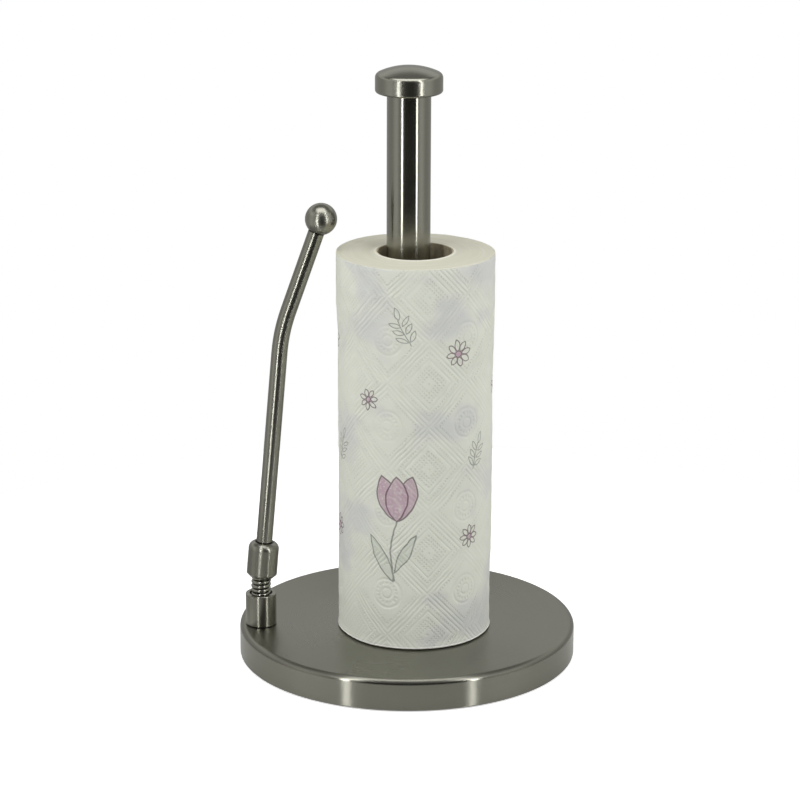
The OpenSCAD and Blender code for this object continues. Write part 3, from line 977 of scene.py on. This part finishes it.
tulip_at = (-15, 92)
heart_petal = leaf_edge(*set_down(tulip_at), 27, 13)
left_petal = leaf_edge(*set_down((tulip_at[0] - 5.4, tulip_at[1] + 0.6), 17), 28, 12)
right_petal = leaf_edge(*set_down((tulip_at[0] + 5.4, tulip_at[1] + 0.6), -17), 28, 12)
clear_of_heart = ease(heart_petal, 0.1, 0.4)
head = Wire.math("MINIMUM", heart_petal, Wire.math("MINIMUM", left_petal, right_petal))
stem_x, stem_y = set_down((tulip_at[0], tulip_at[1] - 13))
stem = pen(stem_x - Wire.math("SINE", stem_y * 0.075) * 3.5, 1.0) * between(stem_y, -37, -0.5, 0.3)
left_leaf = leaf_edge(*set_down((tulip_at[0] - 9, tulip_at[1] - 37), 28), 30, 7)
right_leaf = leaf_edge(*set_down((tulip_at[0] + 5, tulip_at[1] - 33), -30), 26, 6)
heart_lines = pen(heart_petal, 0.9)
side_lines = either(pen(left_petal, 0.9), pen(right_petal, 0.9)) * clear_of_heart
tulip_lines = either(heart_lines, side_lines)
first_daisy, first_eye = daisy((22, 178), reach=8.0, petals=8, turn=10)
second_daisy, second_eye = daisy((-33, 150), reach=6.4, petals=7, turn=35)
third_daisy, third_eye = daisy((31, 66), reach=6.8, petals=8, turn=0)
plum_lines = either(tulip_lines, first_daisy, second_daisy, third_daisy)
green_lines = either(
    stem, pen(left_leaf, 0.8), pen(right_leaf, 0.8),
    sprig((-8, 186), turn=24, pairs=3, long=8),
    sprig((34, 108), turn=-18, pairs=3, long=7.5),
)
soft_leaf = ease(Wire.math("MINIMUM", left_leaf, right_leaf), -0.6, 0.3, 1, 0)
eyes = ease(Wire.math("MINIMUM", first_eye, Wire.math("MINIMUM", second_eye, third_eye)), -0.3, 0.2, 1, 0)
veil = ease(grain(centred, 0.0009, 1.0), 0.26, 0.44, 0.55, 1.0)
streak = ease(grain(stretched(centred, 2.2, 2.2, 0.8), 0.006, 2.0), 0.38, 0.62, 0.86, 1.0)
mauve = either(ease(head, -0.9, -0.1, 1, 0), eyes) * veil * streak * (1 - raised * 0.25)
under = ease(grain(stretched(centred, 1.0, 1.0, 1.3), 0.026, 3.0), 0.50, 0.66)

# The paper is a warm white with painted shade in the marks of the embossing, and lets the ink through. Its
# plies show as fine rings on the cut ends.
plum_ink = (0.135, 0.085, 0.105)
green_ink = (0.16, 0.18, 0.16)
mauve_ink = (0.47, 0.335, 0.40)
leaf_ink = (0.44, 0.50, 0.42)
plies = 0.5 * brush_lines(out, way, 0.00035, 1.5) + 0.5 * brush_lines(out, way, 0.0016, 1.0)
printed = mixed(wrinkle, (0.665, 0.680, 0.600), (0.700, 0.712, 0.640))
printed = mixed(under * 0.65, printed, (0.555, 0.560, 0.570))
# Painted shade in the pin dots and ribs of the embossing.
printed = mixed((pins * 0.30 + ribs * 0.06) * crushed, printed, (0.50, 0.51, 0.45))
printed = mixed(mauve * 0.95, printed, mauve_ink)
printed = mixed(soft_leaf * veil * 0.35, printed, leaf_ink)
printed = mixed(plum_lines * 0.85, printed, plum_ink)
printed = mixed(green_lines * 0.75, printed, green_ink)
cut_edge = mixed(ease(plies, 0.30, 0.70), (0.635, 0.625, 0.510), (0.690, 0.680, 0.575))
# A pale ring next to the bore is a painted highlight on the paper's inner lip.
cut_edge = mixed(ease(out, paper_bore + 0.0006, paper_bore + 0.0016, 1, 0), cut_edge, (0.80, 0.79, 0.69))

# A pale band round the foot is a painted highlight on its edge. A line of perforation runs up the roll, and
# beside the loose edge runs a painted shadow.
painted_foot_highlight = ease(up, 0.0002, 0.0006) * ease(up, 0.0013, 0.0019, 1, 0)
printed = mixed(painted_foot_highlight, printed, (0.92, 0.92, 0.87))
perforation_at = 96
perforation = pen(round_mm - perforation_at, 0.5) * ease(row_of(up_mm, 4.2), 0.3, 0.5) * on_side
painted_tail_shadow = pen(round_mm - (tail_at * paper_r * 1000 - 0.4), 0.6) * on_side
# The perforation is darker, and a painted shadow lies beside the loose edge.
printed = mixed(perforation * 0.5 + painted_tail_shadow * 0.4, printed, (0.35, 0.35, 0.31))
finish_material(
    Base_Color=mixed(on_end, printed, cut_edge),
    Roughness=0.93 - raised * on_side * 0.05,
    Specular_IOR_Level=0.25,
    Normal=relief(
        on_side * (crepe * 0.00014 + wrinkle * 0.0005 - raised * 0.00028 - perforation * 0.0002)
        + on_end * plies * 0.00016
    ),
)
towels.data.materials.append(tissue)
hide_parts("paper_roll")
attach(towels, "roll")
